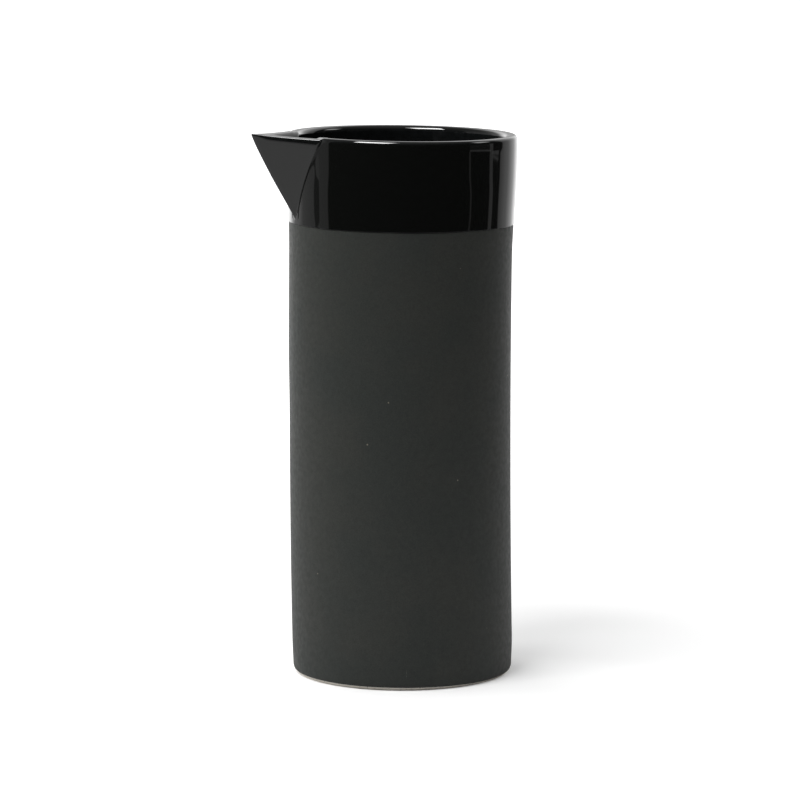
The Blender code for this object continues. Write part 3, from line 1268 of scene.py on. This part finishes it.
@dataclass(frozen=True)
class Lining:
    """The glossy lining of the wall and the floor, thicker in the corner, where the glaze pooled."""

    dip: GlossDip
    hand: HandMade
    thickness: float = 0.5 * MM
    corner: float = 4.0 * MM
    columns: int = 256
    pool_dip: float = 0.15 * MM
    edge_gap: float = 0.05 * MM
    back_height: float = 1.0 * MM
    floor_rows: int = 28
    corner_rows: int = 13
    wall_rows: int = 59
    rows_per_outer_row: int = 4
    under_rows: int = 12

    def make_lining(self) -> bpy.types.Object:
        """The lining's shell: from the middle of the floor out, up the wall, and back on its outer side.

        The floor sinks by a cosine towards its middle.

        Returns:
            The object.
        """
        sizes, corner = self.dip.form.sizes, self.corner
        turn = (full_turn(self.columns) + math.pi) % math.tau - math.pi
        top = self.dip.inner_edge(turn) - self.edge_gap
        bore, floor = sizes.lining_radius - self.thickness, sizes.lining_floor + self.thickness
        across, climb = np.linspace(0.0, 1.0, self.floor_rows), even(self.wall_rows)
        bend, back = RIGHT_ANGLE * even(self.corner_rows)[:, None], climb[::-self.rows_per_outer_row]
        radius = rows_of(
            self.columns,
            leg(0.0, bore - corner, across),
            bore - corner + corner * np.sin(bend),
            leg(bore, bore, climb),
            leg(sizes.lining_radius, sizes.lining_radius, back),
            leg(sizes.lining_radius, 0.0, np.linspace(0.0, 1.0, self.under_rows)),
        )
        level = rows_of(
            self.columns,
            floor - self.pool_dip * (0.5 + 0.5 * np.cos(math.pi * across[:, None])),
            floor + corner * (1.0 - np.cos(bend)),
            leg(floor + corner, top, climb),
            leg(sizes.lining_floor + self.back_height, top, back),
            np.full((self.under_rows, 1), sizes.lining_floor),
        )
        return make_shell("gloss_lining", self.hand.bend(place_round(radius, turn, level)), Ends.POLES)

    def build(self, material: bpy.types.Material) -> None:
        """Makes and dresses the lining."""
        fit_out(self.make_lining(), material, Slot.GLOSS, "inner_glaze")


@dataclass(frozen=True)
class Viewpoint:
    """The camera: where the photographer stood, and where the lens pointed."""

    distance: float = 1.682155
    height: float = 0.359273
    turn: float = 0.377877
    pitch: float = 0.142463
    yaw: float = -0.000684
    roll: float = -0.000497
    focal_pixels: float = 3938.22
    frame_pixels: float = 800.0
    sensor: float = 36.0
    near_clip: float = 0.05

    @property
    def towards(self) -> Array:
        """The level direction from the jug to the camera."""
        return np.array([-math.sin(self.turn), -math.cos(self.turn), 0.0])

    @property
    def image_right(self) -> Array:
        """The level direction that runs to the right in the picture."""
        return np.array([math.cos(self.turn), -math.sin(self.turn), 0.0])

    def build(self) -> None:
        """Makes the scene's camera."""
        flat = math.cos(self.pitch)
        ahead = flat * math.sin(self.yaw) * self.image_right - flat * math.cos(self.yaw) * self.towards
        ahead = ahead - np.array([0.0, 0.0, math.sin(self.pitch)])
        right = np.cross(ahead, [0.0, 0.0, 1.0])
        right /= np.linalg.norm(right)
        up = np.cross(right, ahead)
        tilted = right * math.cos(self.roll) + up * math.sin(self.roll)
        upright = up * math.cos(self.roll) - right * math.sin(self.roll)
        lens = bpy.data.cameras.new("camera")
        lens.sensor_width = self.sensor
        lens.lens = self.focal_pixels * self.sensor / self.frame_pixels
        lens.clip_start = self.near_clip
        camera = put("camera", lens)
        place = self.distance * self.towards + np.array([0.0, 0.0, self.height])
        camera.matrix_world = facing(tilted, upright, -ahead, place)
        bpy.context.scene.camera = camera


@dataclass(frozen=True)
class SoftBox:
    """An oblong soft light that looks at the jug.

    A screened one lights it without showing in the glaze. One with a piece's name only shows in that piece.
    """

    name: str
    turn_from_camera: float
    elevation: float
    distance: float
    width: float
    height: float
    watts: float
    screened: bool = False
    only: str = ""
    aim: tuple[float, float, float] = (0.0, 0.0, 0.12)

    def build(self, view: Viewpoint) -> None:
        """Makes the light.

        Args:
            view: The camera, from which the light's turn is counted, to the right.
        """
        turn = math.radians(self.turn_from_camera)
        level = math.cos(turn) * view.towards + math.sin(turn) * view.image_right
        rise = math.radians(self.elevation)
        back = math.cos(rise) * level + np.array([0.0, 0.0, math.sin(rise)])
        side = np.cross([0.0, 0.0, 1.0], back)
        side /= np.linalg.norm(side)
        data = bpy.data.lights.new(self.name, "AREA")
        data.shape, data.size, data.size_y, data.energy = "RECTANGLE", self.width, self.height, self.watts
        light = put(self.name, data)
        light.matrix_world = facing(side, np.cross(back, side), back, self.aim + self.distance * back)
        light.visible_camera = False
        light.visible_glossy = not self.screened
        if self.only:
            lit = bpy.data.collections.new(f"{self.name}_lights")
            lit.objects.link(bpy.data.objects[self.only])
            light.light_linking.receiver_collection = lit
            light.visible_diffuse = False


@dataclass(frozen=True)
class Edge:
    """An upright edge of a panel, which may lean: its turn from one elevation up, and from another down."""

    turn: float
    low_turn: float
    high: float
    low: float


@dataclass(frozen=True)
class Panel:
    """A lit part of the room, seen from the jug: from and to which turn and elevation, and how bright.

    Turns are in degrees from the camera's side, to the right. The edges fade over a few degrees, and the
    lower and upper one may slope: they rise by so many degrees for each degree of turn.
    """

    start: float | Edge
    end: float | Edge
    low: float
    high: float
    bright: float
    fade: float = 1.2
    fade_up: float = 3.0
    slope: float = 0.0

    def past(self, recipe: Recipe, edge: float | Edge, turn: Socket, rise: Socket) -> Socket:
        """How many degrees each direction lies past an upright edge, which may lean."""
        leans = isinstance(edge, Edge)
        place = recipe.ramp(rise, edge.low, edge.high, edge.low_turn, edge.turn) if leans else edge
        return recipe.math("SUBTRACT", turn, place)

    def share(self, recipe: Recipe, turn: Socket, rise: Socket) -> Socket:
        """Its brightness in each direction: the product of a ramp at each of its four edges.

        Args:
            recipe: The world's node tree.
            turn: The socket of the turns, in degrees.
            rise: The socket of the elevations, in degrees.

        Returns:
            The brightness's socket.
        """
        side, up = self.fade / 2, self.fade_up / 2
        if self.slope:
            climbed = recipe.product(self.past(recipe, self.start, turn, rise), self.slope)
            rise = recipe.math("SUBTRACT", rise, climbed)
        return recipe.product(
            recipe.ramp(self.past(recipe, self.start, turn, rise), -side, side, 0.0, self.bright),
            recipe.ramp(self.past(recipe, self.end, turn, rise), -side, side, 1.0, 0.0),
            recipe.ramp(rise, self.low - up, self.low + up),
            recipe.ramp(rise, self.high - up, self.high + up, 1.0, 0.0),
        )


@dataclass(frozen=True)
class Studio:
    """A white table in front of a white wall, with the room dark on the camera's side."""

    view: Viewpoint
    table_half: float = 6.0
    table_seen: float = 1.1
    full_bounce: float = 0.385
    table_white: Colour = (0.92, 0.92, 0.92)
    table_bounce: Colour = (0.70, 0.70, 0.70)
    glow_near: float = 0.205
    glow_far: float = 1.0
    glow_start: float = 0.25
    glow_end: float = 1.2
    wall_white: float = 1.1
    boxes: tuple[SoftBox, ...] = (
        SoftBox("key_softbox", -38.5, 62.0, 1.30, 0.64, 0.42, 11.0),
        SoftBox("key_glint", -40.0, 58.0, 1.29, 0.60, 0.42, 14.0, only="gloss_dip"),
        SoftBox("left_screen", -95.0, 20.0, 1.40, 0.80, 0.60, 7.4, True),
        SoftBox("back_left_screen", -145.0, 20.0, 1.40, 1.00, 0.80, 6.6, True),
    )
    # The wall behind and its lit corners, then the wall on the left with a gap in it
    panels: tuple[Panel, ...] = (
        Panel(-170.0, -146.0, -30.0, 40.0, 1.5, 14.0, 30.0),
        Panel(-200.0, -122.0, -30.0, 40.0, 0.22, 6.0, 30.0),
        Panel(-200.0, Edge(-97.6, -99.6, -5.3, -7.3), -30.0, 35.0, 0.33, 1.2, 30.0),
        Panel(-99.0, -91.0, -30.0, 35.0, 0.07, 1.2, 30.0),
        Panel(Edge(-97.8, -91.6, -4.85, -6.1), Edge(-78.3, -80.0, -5.2, -7.9), -30.0, 35.0, 0.28, 1.2, 30.0),
        # What stands beside the camera on the right, a window, and the wall on the right
        Panel(Edge(70.1, 73.4, -6.2, -9.6), Edge(71.7, 75.0, -6.2, -9.6), -30.0, -3.0, 0.20, 0.8, 1.5),
        Panel(71.0, 99.0, -2.8, -2.0, 0.34, 1.2, 0.5, slope=-0.042),
        Panel(71.0, 104.0, -2.4, 6.0, 0.05, 1.2, 3.0),
        Panel(Edge(97.8, 99.6, -6.4, -8.9), Edge(102.8, 105.0, -6.4, -8.6), -30.0, 5.0, 0.27, 1.0),
        Panel(102.0, 112.5, -5.90, -3.90, 0.27, 1.2, 0.3),
        Panel(102.5, 112.0, -6.19, -6.07, 0.36, 1.2, 0.08),
        Panel(88.0, 109.0, 27.0, 41.0, 4.0, 3.0, 4.0),
        Panel(Edge(119.5, 115.7, -3.0, -5.0), 200.0, -30.0, 50.0, 0.34, 1.4, 20.0),
        Panel(122.0, 200.0, -30.0, 50.0, 0.16, 10.0, 20.0),
        Panel(120.0, 146.0, 16.0, 50.0, 0.40, 10.0, 12.0),
        Panel(138.0, 172.0, -30.0, 50.0, 0.45, 12.0, 20.0),
        Panel(152.0, 172.0, -30.0, 50.0, 0.60, 12.0, 20.0),
        # The ceiling, and the upper part of the wall behind
        Panel(-200.0, 200.0, 55.0, 140.0, 0.37, 1.0, 50.0),
        Panel(-200.0, -168.0, 16.0, 50.0, 0.30, 3.0, 20.0),
        Panel(168.0, 200.0, 16.0, 50.0, 0.30, 3.0, 20.0),
    )
    dim: float = 0.035

    def make_table(self) -> None:
        """The table: white and lit, a little brighter than the picture can show, so only shadow dims it.

        Other things than the camera see it only near the jug, and past that they see the room.
        """
        half = self.table_half
        mesh = bpy.data.meshes.new("table")
        corners = [(-half, -half, 0.0), (half, -half, 0.0), (half, half, 0.0), (-half, half, 0.0)]
        mesh.from_pydata(corners, [], [(0, 1, 2, 3)])
        material = bpy.data.materials.new("white_table")
        material.use_nodes = True
        recipe = Recipe(material.node_tree)
        where = recipe.add("TexCoord").outputs["Object"]
        distance = recipe.add("VectorMath", {0: where}, operation="LENGTH").outputs["Value"]
        bounce = recipe.add("BsdfDiffuse", {"Color": opaque(self.table_bounce)}).outputs[0]
        white = recipe.add("BsdfDiffuse", {"Color": opaque(self.table_white)}).outputs[0]
        glow = recipe.ramp(distance, self.glow_start, self.glow_end, self.glow_near, self.glow_far)
        lit = recipe.add("Emission", {"Strength": glow}).outputs[0]
        seen = recipe.add("AddShader", {0: white, 1: lit}).outputs[0]
        clear = recipe.add("BsdfTransparent").outputs[0]
        far = recipe.ramp(distance, self.full_bounce, self.table_seen, smooth=True)
        unseen = recipe.add("MixShader", {0: far, 1: bounce, 2: clear}).outputs[0]
        recipe.add("OutputMaterial", {"Surface": recipe.by_camera(unseen, seen)})
        mesh.materials.append(material)
        put("table", mesh)

    def make_room(self) -> None:
        """The room: white to the camera. To everything else it is dim but for its panels."""
        world = bpy.data.worlds.new("room")
        world.use_nodes = True
        bpy.context.scene.world = world
        recipe = Recipe(world.node_tree)
        where = recipe.add("TexCoord").outputs["Generated"]
        turned = recipe.add("Mapping", {"Vector": where, "Rotation": (0, 0, self.view.turn)}).outputs[0]
        parts = recipe.add("SeparateXYZ", {0: turned})
        backwards = recipe.product(parts.outputs[1], -1.0)
        turn = recipe.math("DEGREES", recipe.math("ARCTAN2", parts.outputs[0], backwards))
        rise = recipe.math("DEGREES", recipe.math("ARCSINE", parts.outputs[2]))
        lit = self.dim
        for panel in self.panels:
            lit = recipe.math("ADD", lit, panel.share(recipe, turn, rise))
        room = recipe.add("Background", {"Color": opaque(WHITE), "Strength": lit}).outputs[0]
        white = recipe.add("Background", {"Color": opaque(WHITE), "Strength": self.wall_white}).outputs[0]
        recipe.add("OutputWorld", {"Surface": recipe.by_camera(room, white)})

    def build(self) -> None:
        """Makes the table, the room and the lights."""
        self.make_table()
        self.make_room()
        for box in self.boxes:
            box.build(self.view)
        bpy.context.scene.view_settings.view_transform = "Standard"


def main() -> None:
    """Builds the jug's pieces from the clay out, then the studio and the camera."""
    logging.basicConfig(level=logging.INFO, format="%(name)s: %(message)s")
    sizes = JugSizes.from_frame()
    form = JugForm(sizes)
    hand = HandMade(sizes.height, sizes.band_radius)
    dip_line, wiped, gloss = DipLine(), WipedFoot(), GlossGlaze().material()
    ClayBody(form, hand, wiped).build(BareClay().material())
    MatteSkin(form, hand, dip_line, wiped).build(MatteCoat().material())
    dip = GlossDip(form, hand, dip_line)
    dip.build(gloss)
    Lining(dip, hand).build(gloss)
    view = Viewpoint()
    view.build()
    Studio(view).build()


if __name__ == "__main__":
    main()
